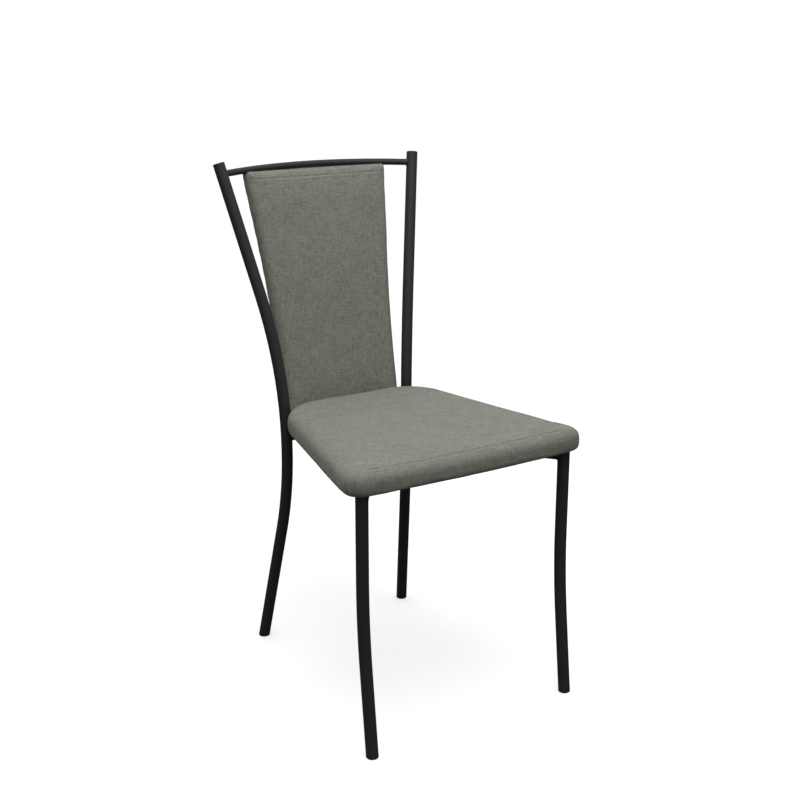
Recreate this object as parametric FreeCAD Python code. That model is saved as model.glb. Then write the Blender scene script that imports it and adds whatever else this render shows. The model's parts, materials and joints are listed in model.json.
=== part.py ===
import FreeCAD, Part

import math
import os

from FreeCAD import Rotation, Vector

# Dining chair: a welded frame of round steel tube, an upholstered seat pad and a floating back panel.
# Millimetres, +Z up, X = 0 is the plane of symmetry and the sitter faces -Y.
# Depths run from the line through the front feet. At the end the whole chair moves along Y, so that
# its origin is the middle of its overall box, on the floor.

# Tube stock
leg_radius = 11.1
leg_wall = 1.5
brace_radius = 9.5
brace_wall = 1.5
rail_radius = 6.35

# Front legs: upright under the seat, then leaning forward to the foot
front_half_spacing = 211.9
front_upright_depth = 28.3
front_bend_height = 237.8
front_bend_radius = 1350.0

# Rear uprights: rear leg and back post in one tube, narrowest at the waist behind the seat
waist_half_spacing = 137.2
waist_depth = 443.8
rear_foot_half_spacing = 168.0
rear_foot_depth = 510.5
leg_bend_height = 331.0
leg_bend_radius = 765.0
post_bend_height = 575.0
post_bend_radius = 973.0
post_top_half_spacing = 213.5
post_top_depth = 543.0
overall_height = 965.0

# Rails that carry the back panel
rail_below_post_top = 20.0
top_rail_bow = 42.0
top_rail_arch = 4.8
panel_rail_gap = 1.0
lower_rail_height = 440.0

# Seat pad, sharp corners before rounding
seat_underside = 474.8
seat_thickness = 42.4
seat_front_depth = 6.0
seat_rear_depth = 433.1
seat_front_half_width = 251.9
seat_rear_half_width = 159.6
seat_front_bow = 9.5
seat_rear_bow = 8.0
seat_front_corner = 29.4
seat_rear_corner = 100.0
seat_least_corner = 3.0
seat_top_round = 22.0
seat_bottom_round = 10.5
seat_board_thickness = 12.0
seat_board_inset = 13.0
seat_cover_turnunder = 40.0
dust_cover_thickness = 0.5
dust_cover_inset = 17.0

# Back panel: curved in plan and, gently, in profile
panel_thickness = 27.0
panel_bottom_height = 476.0
panel_bottom_half_width = 122.2
panel_top_half_width = 151.0
panel_side_bend_height = 664.0
panel_side_bend_radius = 1920.0
panel_bottom_corner = 12.0
panel_plan_radius = 596.0
panel_profile_radius = 4900.0
panel_bottom_depth = 473.487
panel_board_thickness = 9.0
panel_board_inset = 9.0
cover_thickness = 1.5

# Plugs and feet
plug_flange = 1.5
plug_length = 14.0
plug_clearance = 0.1
plug_edge_round = 0.7
glide_height = 5.5
glide_edge_round = 1.8
glide_stem = 18.0

# Screwed fixings. The seat's are larger than the back's.
seat_tab_thickness = 3.0
seat_tab_length = 32.0
seat_tab_inner_edge = 5.0
seat_tab_hole_from_tube = 12.0
seat_tab_outer_edge = 26.0
seat_tab_from_tube_end = 95.0
seat_tab_corner = 6.0
back_tab_thickness = 2.5
back_tab_width = 24.0
back_tab_half_spacing = 70.0
back_tab_hole_from_edge = 17.0
back_tab_below_hole = 11.0
back_tab_clearance = 0.1
back_tab_bend = 2.0
hole_clearance = 0.3
pocket_clearance = 0.5
back_nut_clearance = 0.1
cover_hole_clearance = 1.5
seat_fixing = dict(shank=3.0, head=6.0, head_height=3.4, socket=2.3, washer=7.5, washer_thickness=1.2,
                   flange=9.0, flange_thickness=1.2, barrel=4.0, barrel_length=9.0)
back_fixing = dict(shank=2.5, head=4.75, head_height=2.8, socket=1.75, washer=5.75, washer_thickness=1.0,
                   flange=7.5, flange_thickness=1.0, barrel=3.25, barrel_length=6.5)

# Shares and limits that shape small details
screw_crown_share = 0.55
socket_floor_share = 0.4
tab_tip_share = 1 / 3
edge_tolerance = 0.01
upright_share = 0.99
halvings = 40
beyond = 1.2
floor_size = 2000.0

x_axis = Vector(1, 0, 0)
y_axis = Vector(0, 1, 0)
z_axis = Vector(0, 0, 1)


def unit(vector):
    return Vector(vector).normalize()


def mirrored(shape):
    return shape.mirror(Vector(0, 0, 0), x_axis)


def rounded_path(points, radii):
    # Straight runs through the points, with a tangent arc of the given radius at each inner point.
    edges = []
    start = points[0]
    for before, corner, after, radius in zip(points, points[1:], points[2:], radii):
        back = unit(before - corner)
        onward = unit(after - corner)
        half_turn = (math.pi - back.getAngle(onward)) / 2
        reach = radius * math.tan(half_turn)
        arc_start = corner + back * reach
        arc_end = corner + onward * reach
        arc_middle = corner + unit(back + onward) * (radius / math.cos(half_turn) - radius)
        edges.append(Part.makeLine(start, arc_start))
        edges.append(Part.Arc(arc_start, arc_middle, arc_end).toShape())
        start = arc_end
    edges.append(Part.makeLine(start, points[-1]))
    return Part.Wire(edges)


def rod(path, radius):
    first = path.OrderedEdges[0]
    start = first.valueAt(first.FirstParameter)
    along = first.tangentAt(first.FirstParameter)
    circle = Part.Wire([Part.makeCircle(radius, start, along)])
    return path.makePipe(Part.Face(circle))


def tube(path, radius, wall):
    return rod(path, radius).cut(rod(path, radius - wall))


def straight(start, end):
    return Part.Wire([Part.makeLine(start, end)])


def point_at_height(low, high, height):
    return low + (high - low) * ((height - low.z) / (high.z - low.z))


# Frame

frame_top = seat_underside - dust_cover_thickness
brace_height = frame_top - brace_radius

front_foot = Vector(front_half_spacing, 0, 0)
front_bend = Vector(front_half_spacing, front_upright_depth, front_bend_height)
front_top = Vector(front_half_spacing, front_upright_depth, frame_top - plug_flange)
front_axis = unit(front_bend - front_foot)

rear_foot = Vector(rear_foot_half_spacing, rear_foot_depth, 0)
leg_bend = Vector(waist_half_spacing, waist_depth, leg_bend_height)
post_bend = Vector(waist_half_spacing, waist_depth, post_bend_height)
post_top = Vector(post_top_half_spacing, post_top_depth, overall_height)
rear_axis = unit(leg_bend - rear_foot)
post_axis = unit(post_top - post_bend)

front_path = rounded_path([front_foot + front_axis * glide_height, front_bend, front_top],
                          [front_bend_radius])
rear_path = rounded_path([rear_foot + rear_axis * glide_height, leg_bend, post_bend,
                          post_top - post_axis * plug_flange],
                         [leg_bend_radius, post_bend_radius])
front_leg = tube(front_path, leg_radius, leg_wall)
rear_upright = tube(rear_path, leg_radius, leg_wall)
front_line = [front_foot, front_bend, front_top + z_axis * plug_flange]
front_solid = rod(rounded_path(front_line, [front_bend_radius]), leg_radius)
rear_solid = rod(rear_path, leg_radius)

# The under-seat cross: one tube runs through, the other is cut and welded to it in the middle.
brace_front = Vector(front_half_spacing, front_upright_depth, brace_height)
brace_rear = Vector(-waist_half_spacing, waist_depth, brace_height)
brace_direction = unit(brace_rear - brace_front)
brace_centre = brace_front + (brace_rear - brace_front) * (
    front_half_spacing / (front_half_spacing + waist_half_spacing))
through_path = straight(brace_front, brace_rear)
through_solid = rod(through_path, brace_radius)
brace_long = tube(through_path, brace_radius, brace_wall).cut(front_solid).cut(mirrored(rear_solid))


def brace_half(end, meets):
    path = straight(Vector(-end.x, end.y, end.z), brace_centre)
    return tube(path, brace_radius, brace_wall).cut(meets).cut(through_solid)


brace_front_half = brace_half(brace_front, mirrored(front_solid))
brace_rear_half = brace_half(brace_rear, rear_solid)

# Back panel surfaces: a plan arc turned about a far axis behind the chair. Offsets run rearward from
# the middle surface, and a place on the panel is given by its X, its height and its offset.
rail_end = point_at_height(post_bend, post_top, overall_height - rail_below_post_top)
rail_middle = rail_end + Vector(-rail_end.x, top_rail_bow, top_rail_arch)
panel_rise = rail_middle - Vector(0, panel_bottom_depth, panel_bottom_height)
half_turn = math.asin(panel_rise.Length / (2 * panel_profile_radius))
panel_top_lean = math.atan2(panel_rise.y, panel_rise.z) + half_turn
turn_centre = Vector(0, rail_middle.y + panel_profile_radius * math.cos(panel_top_lean),
                     rail_middle.z - panel_profile_radius * math.sin(panel_top_lean))


def panel_distance(x, offset):
    across = panel_plan_radius + offset
    return panel_profile_radius + panel_plan_radius - math.sqrt(across ** 2 - x ** 2)


def panel_frame(x, height, offset):
    # The point, and the directions across, rearward and up the panel there.
    distance = panel_distance(x, offset)
    lean = math.asin((height - turn_centre.z) / distance)
    forward = Vector(0, -math.cos(lean), math.sin(lean))
    slant = math.asin(x / (panel_plan_radius + offset))
    across = x_axis * math.cos(slant) + forward * math.sin(slant)
    rearward = x_axis * math.sin(slant) - forward * math.cos(slant)
    return turn_centre + x_axis * x + forward * distance, across, rearward, across.cross(rearward)


lower_rail_end = Vector(waist_half_spacing, waist_depth, lower_rail_height)
lower_rail_middle = panel_frame(0, lower_rail_height, 0)[0]


def bowed_arc(end, middle):
    return Part.Arc(Vector(-end.x, end.y, end.z), middle, end)


def bowed_rail(arc):
    return rod(Part.Wire([arc.toShape()]), rail_radius)


top_arc = bowed_arc(rail_end, rail_middle)
lower_arc = bowed_arc(lower_rail_end, lower_rail_middle)
top_solid = bowed_rail(top_arc)
lower_solid = bowed_rail(lower_arc)
top_rail = top_solid.cut(rear_solid).cut(mirrored(rear_solid))
lower_back_rail = lower_solid.cut(rear_solid).cut(mirrored(rear_solid))


def plug(seat, outward):
    # A flanged plug: its flange covers the tube's end and its stem fits inside the tube.
    flange = Part.makeCylinder(leg_radius, plug_flange, seat, outward)
    rim = [e for e in flange.Edges if e.Closed and (e.CenterOfMass - seat).dot(outward) > plug_flange / 2]
    flange = flange.makeFillet(plug_edge_round, rim)
    stem = Part.makeCylinder(leg_radius - leg_wall - plug_clearance, plug_length, seat, outward * -1)
    return flange.fuse(stem).removeSplitter()


def glide(foot, axis):
    # A foot plug: the tube's line carried down and cut flat on the floor, with a stem in the tube.
    end = foot + axis * glide_height
    body = Part.makeCylinder(leg_radius, 2 * leg_radius, end, axis * -1)
    below = Part.makeBox(floor_size, floor_size, floor_size,
                         Vector(-floor_size / 2, -floor_size / 2, -floor_size))
    body = body.cut(below)
    rim = [e for e in body.Edges if e.BoundBox.ZMax < edge_tolerance]
    body = body.makeFillet(glide_edge_round, rim)
    stem = Part.makeCylinder(leg_radius - leg_wall - plug_clearance, glide_stem, end, axis)
    return body.fuse(stem).removeSplitter()


leg_plug = plug(front_top, z_axis)
post_cap = plug(post_top - post_axis * plug_flange, post_axis)
front_glide = glide(front_foot, front_axis)
rear_glide = glide(rear_foot, rear_axis)


# Fixings

def placed(shape, origin, outward):
    # A shape made about +Z moves to the origin given, with +Z along outward.
    copy = shape.copy()
    copy.Placement = FreeCAD.Placement(origin, Rotation(z_axis, outward))
    return copy


def screw(fixing, length):
    head = Part.makeCylinder(fixing["head"], fixing["head_height"])
    crown = [e for e in head.Edges if e.Closed and e.CenterOfMass.z > fixing["head_height"] / 2]
    head = head.makeFillet(fixing["head_height"] * screw_crown_share, crown)
    floor = fixing["head_height"] * socket_floor_share
    turns = [k * math.pi / 3 for k in range(7)]
    corners = [Vector(fixing["socket"] * math.cos(t), fixing["socket"] * math.sin(t), floor) for t in turns]
    socket = Part.Face(Part.makePolygon(corners)).extrude(z_axis * fixing["head_height"])
    shank = Part.makeCylinder(fixing["shank"], length, Vector(0, 0, -length))
    return head.cut(socket).fuse(shank).removeSplitter()


def washer(fixing):
    outer = Part.makeCylinder(fixing["washer"], fixing["washer_thickness"])
    return outer.cut(Part.makeCylinder(fixing["shank"] + hole_clearance, fixing["washer_thickness"]))


def tee_nut(fixing):
    # Its flange lies on +Z = 0 and its barrel points the other way, toward the screw's head.
    flange = Part.makeCylinder(fixing["flange"], fixing["flange_thickness"])
    tip = Vector(0, 0, -fixing["barrel_length"])
    barrel = Part.makeCylinder(fixing["barrel"], fixing["barrel_length"], tip)
    thread = Part.makeCylinder(fixing["shank"], fixing["barrel_length"] + fixing["flange_thickness"], tip)
    return flange.fuse(barrel).removeSplitter().cut(thread)


def bore(radius, centre, direction, reach):
    return Part.makeCylinder(radius, 2 * reach, centre - direction * reach, direction)


def pocket(fixing, seat, outward):
    # Room in the foam for a tee nut's flange that lies on the board at this seat.
    depth = fixing["flange_thickness"] + pocket_clearance
    return Part.makeCylinder(fixing["flange"] + pocket_clearance, 2 * depth, seat - outward * depth, outward)


# Seat tabs: flat plates on the braces, flush with their tops, each with one hole.
def seat_tab(tube_end, along, side):
    middle = tube_end + along * seat_tab_from_tube_end
    middle.z = frame_top - seat_tab_thickness
    hole = middle + side * (brace_radius + seat_tab_hole_from_tube)
    corner = middle - along * (seat_tab_length / 2) + side * seat_tab_inner_edge
    width = seat_tab_outer_edge + brace_radius - seat_tab_inner_edge
    plate = Part.makeBox(seat_tab_length, width, seat_tab_thickness)
    upright = [e for e in plate.Edges if e.Length == seat_tab_thickness]
    outer = [e for e in upright if e.CenterOfMass.y > seat_tab_inner_edge]
    plate = plate.makeFillet(seat_tab_corner, outer)
    if along.cross(side).z < 0:
        corner = corner + along * seat_tab_length
        along = along * -1
    plate.Placement = FreeCAD.Placement(corner, Rotation(along, side, z_axis))
    plate = plate.cut(bore(seat_fixing["shank"] + hole_clearance, hole, z_axis, seat_tab_thickness))
    return plate, hole


tab_side = unit(z_axis.cross(brace_direction))
front_tab, front_hole = seat_tab(brace_front, brace_direction, tab_side)
rear_tab, rear_hole = seat_tab(brace_rear, brace_direction * -1, tab_side)
front_tab = front_tab.cut(through_solid)
rear_tab = rear_tab.cut(through_solid)
seat_holes = [Vector(side * hole.x, hole.y, hole.z) for hole in (front_hole, rear_hole) for side in (-1, 1)]

seat_board_bottom = seat_underside + cover_thickness
seat_board_top = seat_board_bottom + seat_board_thickness
seat_nut_top = seat_board_top + seat_fixing["flange_thickness"]
seat_head_height = frame_top - seat_tab_thickness - seat_fixing["washer_thickness"]
seat_screws = [placed(screw(seat_fixing, seat_nut_top - seat_head_height),
                      Vector(h.x, h.y, seat_head_height), z_axis * -1) for h in seat_holes]
seat_washers = [placed(washer(seat_fixing), Vector(h.x, h.y, seat_head_height), z_axis) for h in seat_holes]
seat_tee_nuts = [placed(tee_nut(seat_fixing), Vector(h.x, h.y, seat_board_top), z_axis) for h in seat_holes]


# Back tabs: bent plates from a rail to the panel's rear face.
def back_tab(x, edge_height, inward, rail_point, rail_solid):
    # inward is 1 where the panel lies above the rail and -1 where it lies below.
    height = edge_height + inward * back_tab_hole_from_edge
    seat, across, rearward, up = panel_frame(x, height, panel_thickness / 2)
    to_rail = rail_point - seat
    level = to_rail.dot(up)
    depth = to_rail.dot(rearward)
    half = back_tab_thickness / 2
    near = back_tab_clearance
    far = back_tab_clearance + back_tab_thickness
    tip = inward * back_tab_below_hole
    outline = [(near, tip), (far, tip), (far, level - inward * half), (depth, level - inward * half),
               (depth, level + inward * half), (near, level + inward * half)]
    corners = [Vector(-back_tab_width / 2, n, v) for n, v in outline]
    plate = Part.Face(Part.makePolygon(corners + corners[:1])).extrude(x_axis * back_tab_width)
    wide = [e for e in plate.Edges if abs(e.Length - back_tab_width) < edge_tolerance]
    behind = [e for e in wide if e.CenterOfMass.y > far - edge_tolerance]
    bend = [e for e in behind if abs(e.CenterOfMass.z - level) < back_tab_thickness]
    plate = plate.makeFillet(back_tab_bend, bend)
    thin = [e for e in plate.Edges if abs(e.Length - back_tab_thickness) < edge_tolerance]
    tips = [e for e in thin if abs(e.CenterOfMass.z - tip) < edge_tolerance]
    plate = plate.makeFillet(back_tab_width * tab_tip_share, tips)
    plate.Placement = FreeCAD.Placement(seat, Rotation(across, rearward, up))
    plate = plate.cut(rail_solid).cut(bore(back_fixing["shank"] + hole_clearance, seat, rearward, far * 2))
    return plate, seat, rearward


def point_on_arc(arc, x):
    # The arc runs from left to right, so halving its range closes in on the point at this X.
    low = arc.FirstParameter
    high = arc.LastParameter
    for _ in range(halvings):
        middle = (low + high) / 2
        if arc.value(middle).x < x:
            low = middle
        else:
            high = middle
    return arc.value(low)


top_tab_rail = point_on_arc(top_arc, back_tab_half_spacing)
lower_tab_rail = point_on_arc(lower_arc, back_tab_half_spacing)
upper_edge = top_tab_rail.z - rail_radius - panel_rail_gap
upper_tab, upper_seat, upper_out = back_tab(back_tab_half_spacing, upper_edge, -1, top_tab_rail, top_solid)
lower_edge = panel_bottom_height
lower_tab, lower_seat, lower_out = back_tab(back_tab_half_spacing, lower_edge, 1, lower_tab_rail, lower_solid)


def flipped(vector):
    return Vector(-vector.x, vector.y, vector.z)


back_places = [(upper_seat, upper_out), (flipped(upper_seat), flipped(upper_out)),
               (lower_seat, lower_out), (flipped(lower_seat), flipped(lower_out))]
back_washer_seat = back_tab_clearance + back_tab_thickness
back_head_seat = back_washer_seat + back_fixing["washer_thickness"]
back_nut_depth = cover_thickness + panel_board_thickness
back_screw_length = back_head_seat + back_nut_depth + back_fixing["flange_thickness"]
back_screw = screw(back_fixing, back_screw_length)
back_screws = [placed(back_screw, p + n * back_head_seat, n) for p, n in back_places]
back_washers = [placed(washer(back_fixing), p + n * back_washer_seat, n) for p, n in back_places]
back_tee_nuts = [placed(tee_nut(back_fixing), p - n * (back_nut_depth + back_nut_clearance), n * -1)
                 for p, n in back_places]


# Seat pad

def seat_outline():
    front_left = Vector(-seat_front_half_width, seat_front_depth, 0)
    front_right = flipped(front_left)
    rear_left = Vector(-seat_rear_half_width, seat_rear_depth, 0)
    rear_right = flipped(rear_left)
    front = Part.Arc(front_left, Vector(0, seat_front_depth - seat_front_bow, 0), front_right)
    rear = Part.Arc(rear_right, Vector(0, seat_rear_depth + seat_rear_bow, 0), rear_left)
    return Part.Wire([front.toShape(), Part.makeLine(front_right, rear_right), rear.toShape(),
                      Part.makeLine(rear_left, front_left)])


def upright_edges(block):
    # From front to back.
    upright = [e for e in block.Edges if abs(e.tangentAt(e.FirstParameter).z) > upright_share]
    return sorted(upright, key=lambda e: e.CenterOfMass.y)


def seat_block(inset, bottom, top):
    # The seat's outline, drawn in by inset, from bottom to top, with its four corners rounded.
    face = Part.Face(seat_outline())
    if inset:
        face = Part.Face(face.makeOffset2D(-inset).Wires[0])
    block = face.extrude(z_axis * (top - bottom))
    block = block.makeFillet(max(seat_front_corner - inset, seat_least_corner), upright_edges(block)[:2])
    block = block.makeFillet(max(seat_rear_corner - inset, seat_least_corner), upright_edges(block)[-2:])
    block.translate(z_axis * bottom)
    return block


def seat_shape(inset):
    bottom = seat_underside + inset
    top = seat_underside + seat_thickness - inset
    block = seat_block(inset, bottom, top)
    upper = [e for e in block.Edges if e.BoundBox.ZMin > top - edge_tolerance]
    block = block.makeFillet(seat_top_round - inset, upper)
    lower = [e for e in block.Edges if e.BoundBox.ZMax < bottom + edge_tolerance]
    return block.makeFillet(seat_bottom_round - inset, lower)


seat_inside = seat_shape(cover_thickness)
seat_opening = seat_block(seat_cover_turnunder, seat_underside - cover_thickness, seat_board_bottom)
seat_cover = seat_shape(0).cut(seat_inside).cut(seat_opening)
seat_board = seat_block(seat_board_inset, seat_board_bottom, seat_board_top)
seat_foam = seat_inside.cut(seat_board)
seat_dust_cover = seat_block(dust_cover_inset, frame_top, seat_underside)
for hole in seat_holes:
    seat_board = seat_board.cut(bore(seat_fixing["barrel"], hole, z_axis, seat_thickness))
    seat_foam = seat_foam.cut(pocket(seat_fixing, Vector(hole.x, hole.y, seat_board_top), z_axis))
    cloth_hole = bore(seat_fixing["shank"] + cover_hole_clearance, hole, z_axis, seat_tab_thickness * 2)
    seat_dust_cover = seat_dust_cover.cut(cloth_hole)


# Back panel

def panel_slab(front, rear):
    # Everything between two offsets from the panel's middle surface, wider and taller than the panel.
    reach = panel_top_half_width * beyond
    lean = panel_top_lean * beyond
    low_rise = lower_rail_height - turn_centre.z - 2 * leg_radius
    turn = math.degrees(lean - math.asin(low_rise / (panel_profile_radius + 2 * leg_radius)))
    forward = Vector(0, -math.cos(lean), math.sin(lean))

    def place(x, offset):
        return turn_centre + x_axis * x + forward * panel_distance(x, offset)

    front_arc = Part.Arc(place(-reach, front), place(0, front), place(reach, front)).toShape()
    rear_arc = Part.Arc(place(-reach, rear), place(0, rear), place(reach, rear)).toShape()
    sides = [Part.makeLine(place(-reach, front), place(-reach, rear)),
             Part.makeLine(place(reach, front), place(reach, rear))]
    strip = Part.Face(Part.Wire(Part.__sortEdges__([front_arc, sides[1], rear_arc, sides[0]])))
    return strip.revolve(turn_centre, x_axis, turn)


def panel_outline():
    # Seen from the front: straight flaring sides above a bend, upright sides below it, and an upper
    # edge that follows the top rail.
    top_gap = rail_radius + panel_rail_gap
    edge = point_on_arc(top_arc, panel_top_half_width)
    top_right = Vector(panel_top_half_width, 0, edge.z - top_gap)
    top_middle = Vector(0, 0, rail_middle.z - top_gap)
    bend = Vector(panel_bottom_half_width, 0, panel_side_bend_height)
    low_right = Vector(panel_bottom_half_width, 0, panel_bottom_height)
    low_middle = Vector(0, 0, panel_bottom_height)
    right_line = [top_right, bend, low_right, low_middle]
    right = rounded_path(right_line, [panel_side_bend_radius, panel_bottom_corner])
    left = mirrored(right)
    top = Part.Arc(flipped(top_right), top_middle, top_right).toShape()
    return Part.Wire(Part.__sortEdges__([top] + right.Edges + left.Edges))


def panel_shape(inset, front, rear):
    face = Part.Face(panel_outline())
    if inset:
        face = Part.Face(face.makeOffset2D(-inset).Wires[0])
    prism = face.extrude(y_axis * floor_size)
    return panel_slab(front, rear).common(prism)


half_panel = panel_thickness / 2
panel_inside = panel_shape(cover_thickness, cover_thickness - half_panel, half_panel - cover_thickness)
back_cover = panel_shape(0, -half_panel, half_panel).cut(panel_inside)
back_board = panel_shape(panel_board_inset, half_panel - back_nut_depth, half_panel - cover_thickness)
back_board_room = panel_shape(panel_board_inset, half_panel - back_nut_depth, panel_thickness)
back_foam = panel_inside.cut(back_board_room)
for place, outward in back_places:
    back_board = back_board.cut(bore(back_fixing["barrel"], place, outward, panel_thickness))
    back_foam = back_foam.cut(pocket(back_fixing, place - outward * back_nut_depth, outward * -1))
    cover_hole = bore(back_fixing["shank"] + cover_hole_clearance, place, outward, cover_thickness * 2)
    back_cover = back_cover.cut(cover_hole)


# Nodes

nodes = {
    "brace_long": brace_long,
    "brace_front_half": brace_front_half,
    "brace_rear_half": brace_rear_half,
    "top_rail": top_rail,
    "lower_back_rail": lower_back_rail,
    "seat_cover": seat_cover,
    "seat_foam": seat_foam,
    "seat_board": seat_board,
    "seat_dust_cover": seat_dust_cover,
    "seat_screws": Part.makeCompound(seat_screws),
    "seat_washers": Part.makeCompound(seat_washers),
    "seat_tee_nuts": Part.makeCompound(seat_tee_nuts),
    "back_cover": back_cover,
    "back_foam": back_foam,
    "back_board": back_board,
    "back_screws": Part.makeCompound(back_screws),
    "back_washers": Part.makeCompound(back_washers),
    "back_tee_nuts": Part.makeCompound(back_tee_nuts),
}
# Pieces that come in pairs, drawn on the right.
pairs = {
    "front_leg": front_leg,
    "rear_upright": rear_upright,
    "leg_plug": leg_plug,
    "post_cap": post_cap,
    "front_glide": front_glide,
    "rear_glide": rear_glide,
    "seat_tab_front": front_tab,
    "seat_tab_rear": rear_tab,
    "back_tab_upper": upper_tab,
    "back_tab_lower": lower_tab,
}
for name, shape in pairs.items():
    nodes[name + "_right"] = shape
    nodes[name + "_left"] = mirrored(shape)

whole = Part.makeCompound(list(nodes.values())).optimalBoundingBox()
to_origin = Vector(0, -(whole.YMin + whole.YMax) / 2, -whole.ZMin)
print("depth shift", round(to_origin.y, 3))
print("size", round(whole.XLength, 2), round(whole.YLength, 2), round(whole.ZLength, 2))

os.makedirs("parts", exist_ok=True)
for name, shape in nodes.items():
    moved = shape.copy()
    moved.translate(to_origin)
    if not moved.isValid() or not moved.Solids:
        raise ValueError(name + " is not a valid solid")
    moved.exportStep("parts/" + name + ".step")
    print(name, len(moved.Solids), "solid(s)", round(moved.Volume / 1000, 2), "cm3")
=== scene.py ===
import json
import math

import bmesh
import bpy
import numpy as np
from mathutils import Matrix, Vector, noise
from mathutils.bvhtree import BVHTree
from mathutils.geometry import convex_hull_2d
from mathutils.kdtree import KDTree


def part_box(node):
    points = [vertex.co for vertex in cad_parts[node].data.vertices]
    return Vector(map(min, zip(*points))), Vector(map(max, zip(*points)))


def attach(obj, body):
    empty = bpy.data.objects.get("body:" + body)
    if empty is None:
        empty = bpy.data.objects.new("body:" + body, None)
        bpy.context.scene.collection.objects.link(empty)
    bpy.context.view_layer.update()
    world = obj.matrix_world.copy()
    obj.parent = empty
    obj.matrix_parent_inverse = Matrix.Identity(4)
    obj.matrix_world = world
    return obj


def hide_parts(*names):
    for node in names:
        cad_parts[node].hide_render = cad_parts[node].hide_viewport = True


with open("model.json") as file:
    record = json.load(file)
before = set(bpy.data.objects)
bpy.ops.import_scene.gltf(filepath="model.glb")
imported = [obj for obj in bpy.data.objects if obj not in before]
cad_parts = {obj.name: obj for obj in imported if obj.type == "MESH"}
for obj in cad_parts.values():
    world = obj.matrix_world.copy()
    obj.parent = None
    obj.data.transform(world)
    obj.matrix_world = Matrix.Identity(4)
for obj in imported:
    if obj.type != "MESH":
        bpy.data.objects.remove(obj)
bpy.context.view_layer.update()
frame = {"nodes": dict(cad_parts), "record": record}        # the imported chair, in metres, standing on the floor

scene = bpy.context.scene
nodes = frame["nodes"]
mm = 0.001
up = Vector((0, 0, 1))

# Camera, at the sitter's front right, looking a little down
camera = {"place": (-1.1764, -1.9191, 1.2050), "turn": 32.08, "down": 16.55, "lens": 56.24, "film": 36}


def setCamera():
    data = bpy.data.cameras.new("camera")
    data.lens = camera["lens"]
    data.sensor_width = camera["film"]
    rig = bpy.data.objects.new("camera", data)
    rig.location = camera["place"]
    rig.rotation_euler = [math.radians(a) for a in (90 - camera["down"], 0, -camera["turn"])]
    scene.collection.objects.link(rig)
    scene.camera = rig


setCamera()
scene.view_settings.view_transform = "Standard"
print("camera set")


class Value:
    # A shader socket. Sums on it add Math nodes.
    def __init__(self, graph, socket):
        self.graph = graph
        self.socket = socket

    def maths(self, kind, *others):
        return self.graph.maths(kind, self, *others)

    def __add__(self, other):
        return self.maths("ADD", other)

    def __mul__(self, other):
        return self.maths("MULTIPLY", other)

    def __sub__(self, other):
        return self.maths("SUBTRACT", other)

    def __rsub__(self, other):
        return self.graph.maths("SUBTRACT", other, self)

    def __truediv__(self, other):
        return self.maths("DIVIDE", other)

    def __gt__(self, other):
        return self.maths("GREATER_THAN", other)

    def __abs__(self):
        return self.maths("ABSOLUTE")

    __radd__ = __add__
    __rmul__ = __mul__


class Graph:
    # One node tree, filled from empty.
    def __init__(self, tree):
        self.tree = tree
        tree.nodes.clear()

    def node(self, kind, settings=None, sockets=None, out=0):
        made = self.tree.nodes.new(kind)
        for name, value in (settings or {}).items():
            if name == "stops":
                self.setStops(made.color_ramp.elements, value)
            else:
                setattr(made, name, value)
        for name, value in (sockets or {}).items():
            target = self.socket(made.inputs, name)
            if isinstance(value, Value):
                self.tree.links.new(value.socket, target)
            else:
                target.default_value = value
        return Value(self, self.socket(made.outputs, out)) if made.outputs else None

    def socket(self, sockets, name):
        if isinstance(name, int):
            return sockets[name]
        return next(s for s in sockets if name in (s.identifier, s.name))

    def setStops(self, elements, stops):
        while len(elements) < len(stops):
            elements.new(0.5)
        for element, (place, colour) in zip(elements, stops):
            element.position = place
            element.color = tuple(colour) + (1,)

    def maths(self, kind, *values):
        return self.node("ShaderNodeMath", {"operation": kind}, dict(enumerate(values)))

    def clamped(self, value):
        return self.node("ShaderNodeClamp", {}, {"Value": value})

    def mixed(self, factor, first, second):
        # Colours, as three numbers or a link.
        pair = [c if isinstance(c, Value) else tuple(c) + (1,) for c in (first, second)]
        sockets = {"Factor_Float": factor, "A_Color": pair[0], "B_Color": pair[1]}
        return self.node("ShaderNodeMix", {"data_type": "RGBA"}, sockets, "Result_Color")

    def split(self, vector):
        return [self.node("ShaderNodeSeparateXYZ", {}, {"Vector": vector}, i) for i in range(3)]

    def joined(self, x, y, z):
        return self.node("ShaderNodeCombineXYZ", {}, {0: x, 1: y, 2: z})

    def cloud(self, vector, scale, detail=2.0, rough=0.5, out=0):
        # Noise from 0 to 1. Scale is in features per metre where vector is a place.
        sockets = {"Vector": vector, "Scale": scale, "Detail": detail, "Roughness": rough}
        return self.node("ShaderNodeTexNoise", {}, sockets, out)

    def placeHere(self):
        return self.node("ShaderNodeTexCoord", {}, {}, "Object")

    def bumped(self, height, distance, strength):
        sockets = {"Strength": strength, "Distance": distance, "Height": height}
        return self.node("ShaderNodeBump", {}, sockets)

    def surface(self, **sockets):
        named = {name.replace("_", " "): value for name, value in sockets.items()}
        for name, value in named.items():
            if isinstance(value, tuple) and len(value) == 3:
                named[name] = value + (1,)
        shader = self.node("ShaderNodeBsdfPrincipled", {}, named)
        self.node("ShaderNodeOutputMaterial", {}, {"Surface": shader})


def newFinish(name):
    material = bpy.data.materials.new(name)
    material.use_nodes = True
    return material, Graph(material.node_tree)


# Linen-look cloth: plain weave of two greys, thick and thin yarns, soft mottling
clothLook = {
    "dark": (0.112, 0.113, 0.094), "light": (0.234, 0.235, 0.202), "pitch": 1.25, "slubLength": 15.0,
    "wander": 0.8, "relief": 0.55, "bump": 0.55, "topShare": 0.72, "mottle": 34.0, "patch": 11.0,
    "contrast": {"seat": 1.9, "back": 2.8},
}


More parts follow.
